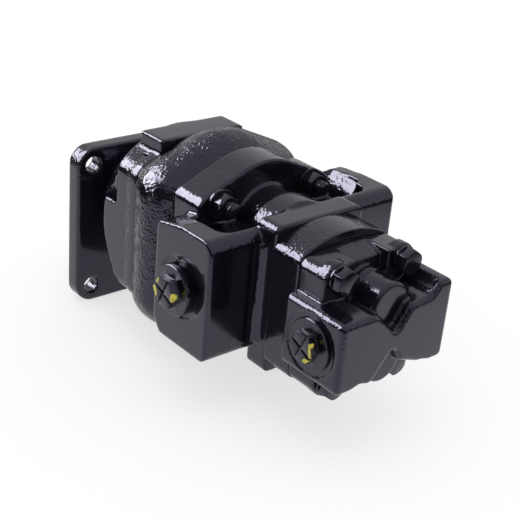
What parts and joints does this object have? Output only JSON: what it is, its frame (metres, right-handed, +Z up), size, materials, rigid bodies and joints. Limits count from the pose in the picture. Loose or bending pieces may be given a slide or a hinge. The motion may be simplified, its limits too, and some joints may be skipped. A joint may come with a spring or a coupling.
{
  "type": "tandem hydraulic gear pump",
  "caption": "Two-section hydraulic pump with a square flange and pilot, splined shaft, bolted cast housings, side port blocks with plastic plugs, and meshed gears inside.",
  "frame": {"origin": "centre of the four-bolt flange's mounting face, on the drive shaft axis", "axes": "+X along the drive shaft from the mounting face to the rear cover, +Z up from the drive gears to the driven gears, ports face +Y and -Y"},
  "size_m": [0.3791, 0.2252, 0.1853],
  "materials": {
    "black_paint": "gloss black paint over sand-cast iron",
    "black_hardware": "gloss black paint over steel",
    "ground_steel": "ground",
    "hardened_steel": "ground",
    "bearing_bronze": "turned bronze",
    "seal_rubber": "matt",
    "plug_plastic": "yellow plastic, mostly under black paint"
  },
  "bodies": {
    "casing": {"mounting_cover": "black_paint", "front_gear_housing": "black_paint", "centre_port_casting": "black_paint", "rear_gear_housing": "black_paint", "rear_port_cover": "black_paint", "front_studs": "black_hardware", "front_nuts": "black_hardware", "front_washers": "black_hardware", "rear_bolts": "black_hardware", "rear_washers": "black_hardware", "front_dowels": "hardened_steel", "rear_dowels": "hardened_steel", "seal_retaining_ring": "hardened_steel", "front_bushings": "bearing_bronze", "rear_bushings": "bearing_bronze", "front_thrust_plate": "bearing_bronze", "middle_thrust_plate": "bearing_bronze", "inner_thrust_plate": "bearing_bronze", "rear_thrust_plate": "bearing_bronze", "front_housing_seals": "seal_rubber", "rear_housing_seals": "seal_rubber", "shaft_seal": "seal_rubber", "front_left_plug": "plug_plastic", "front_right_plug": "plug_plastic", "rear_left_plug": "plug_plastic", "rear_right_plug": "plug_plastic"},
    "drive_train": {"drive_shaft": "ground_steel", "coupling_shaft": "ground_steel", "rear_drive_gear": "ground_steel"},
    "front_driven": {"front_driven_gear": "ground_steel"},
    "rear_driven": {"rear_driven_gear": "ground_steel"}
  },
  "joints": [
    {"name": "drive_spin", "type": "hinge", "parent": "casing", "child": "drive_train", "pos_m": [0, 0, 0], "axis": [1, 0, 0], "continuous": true},
    {"name": "front_driven_spin", "type": "hinge", "parent": "casing", "child": "front_driven", "pos_m": [0, 0, 0.046], "axis": [1, 0, 0], "continuous": true},
    {"name": "rear_driven_spin", "type": "hinge", "parent": "casing", "child": "rear_driven", "pos_m": [0, 0, 0.046], "axis": [1, 0, 0], "continuous": true}
  ],
  "couplings": [
    {"joint": "front_driven_spin", "follows": "drive_spin", "ratio": -1},
    {"joint": "rear_driven_spin", "follows": "drive_spin", "ratio": -1}
  ]
}
